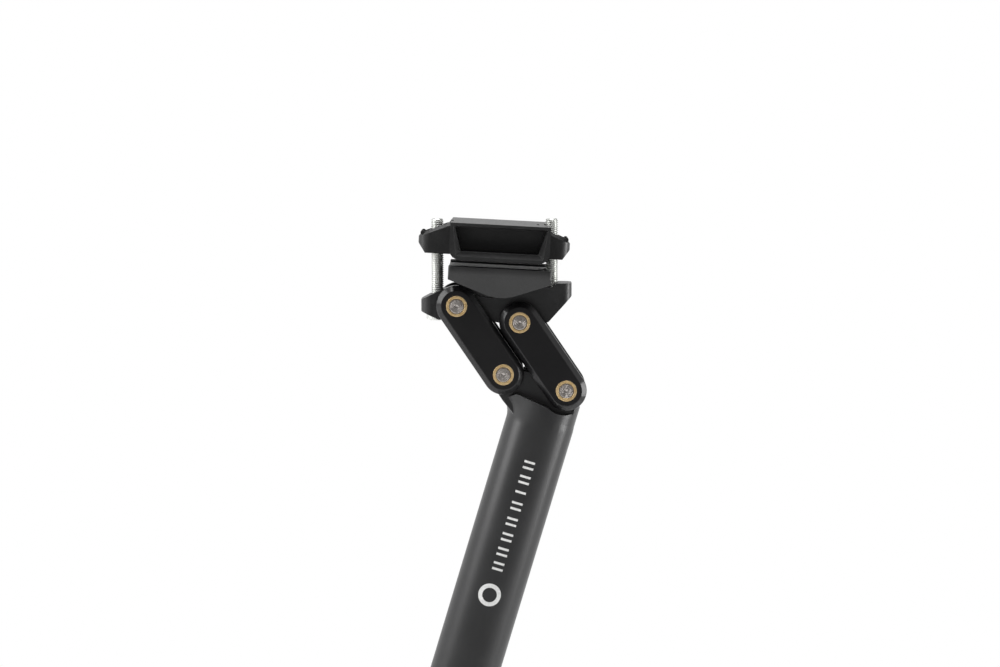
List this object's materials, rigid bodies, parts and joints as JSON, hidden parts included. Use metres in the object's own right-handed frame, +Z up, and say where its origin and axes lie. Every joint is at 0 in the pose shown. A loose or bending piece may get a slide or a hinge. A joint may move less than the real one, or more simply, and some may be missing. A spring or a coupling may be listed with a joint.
{
  "type": "two-position linkage seatpost",
  "caption": "Bicycle seatpost whose saddle clamp swings on parallel links between a forward and a rearward position, with a two-bolt rail clamp.",
  "frame": {"origin": "centre of the post's lower end", "axes": "+Z up along the post, +X to the rear of the bicycle, +Y to the rider's right"},
  "size_m": [0.0809, 0.052, 0.3729],
  "materials": {
    "anodised_post": "satin black anodised",
    "anodised_links": "fine-blasted black anodised",
    "anodised_clamp": "satin black anodised",
    "axle_steel": "turned stainless steel",
    "bronze": "satin bearing bronze",
    "thrust_plastic": "matt low-friction plastic",
    "screw_steel": "black oxide",
    "rubber": "matt rubber",
    "nut_steel": "black oxide",
    "zinc_steel": "zinc plated"
  },
  "bodies": {
    "post": {"post": "anodised_post", "front_lower_axle": "axle_steel", "rear_lower_axle": "axle_steel", "lower_axle_screws": "screw_steel", "stop_bumper": "rubber"},
    "front_link": {"front_link": "anodised_links", "front_lower_bushings": "bronze", "front_upper_bushings": "bronze", "front_lower_thrust_washers": "thrust_plastic", "front_upper_thrust_washers": "thrust_plastic"},
    "rear_link": {"rear_link": "anodised_links", "rear_lower_bushings": "bronze", "rear_upper_bushings": "bronze", "rear_lower_thrust_washers": "thrust_plastic", "rear_upper_thrust_washers": "thrust_plastic"},
    "saddle_head": {"saddle_head": "anodised_clamp", "front_upper_axle": "axle_steel", "rear_upper_axle": "axle_steel", "upper_axle_screws": "screw_steel", "front_clamp_bolt": "zinc_steel", "rear_clamp_bolt": "zinc_steel", "front_bolt_washer": "zinc_steel", "rear_bolt_washer": "zinc_steel"},
    "saddle_clamp": {"lower_rail_cradle": "anodised_clamp", "upper_rail_clamp": "anodised_clamp"},
    "front_nut": {"front_barrel_nut": "nut_steel"},
    "rear_nut": {"rear_barrel_nut": "nut_steel"}
  },
  "joints": [
    {"name": "link_swing", "type": "hinge", "parent": "post", "child": "front_link", "pos_m": [-0.01988, 0, 0.30867], "axis": [0, 1, 0], "range_deg": [0, 95]},
    {"name": "rear_link_swing", "type": "hinge", "parent": "post", "child": "rear_link", "pos_m": [0.0056, 0, 0.30965], "axis": [0, 1, 0], "range_deg": [0, 95]},
    {"name": "head_level", "type": "hinge", "parent": "front_link", "child": "saddle_head", "pos_m": [-0.0451, 0, 0.32917], "axis": [0, 1, 0], "range_deg": [-95, 0]},
    {"name": "clamp_tilt", "type": "hinge", "parent": "saddle_head", "child": "saddle_clamp", "pos_m": [-0.03857, 0, 0.35889], "axis": [0, 1, 0], "range_deg": [-9, 3]},
    {"name": "front_nut_travel", "type": "slide", "parent": "saddle_head", "child": "front_nut", "axis": [-0.2874, 0, 0.9578], "range_m": [-0.0036, 0.0012]},
    {"name": "rear_nut_travel", "type": "slide", "parent": "saddle_head", "child": "rear_nut", "axis": [-0.2874, 0, 0.9578], "range_m": [-0.0012, 0.0036]}
  ],
  "couplings": [
    {"joint": "rear_link_swing", "follows": "link_swing", "ratio": 1},
    {"joint": "head_level", "follows": "link_swing", "ratio": -1},
    {"joint": "front_nut_travel", "follows": "clamp_tilt", "m_per_rad": 0.0226},
    {"joint": "rear_nut_travel", "follows": "clamp_tilt", "m_per_rad": -0.0226}
  ]
}
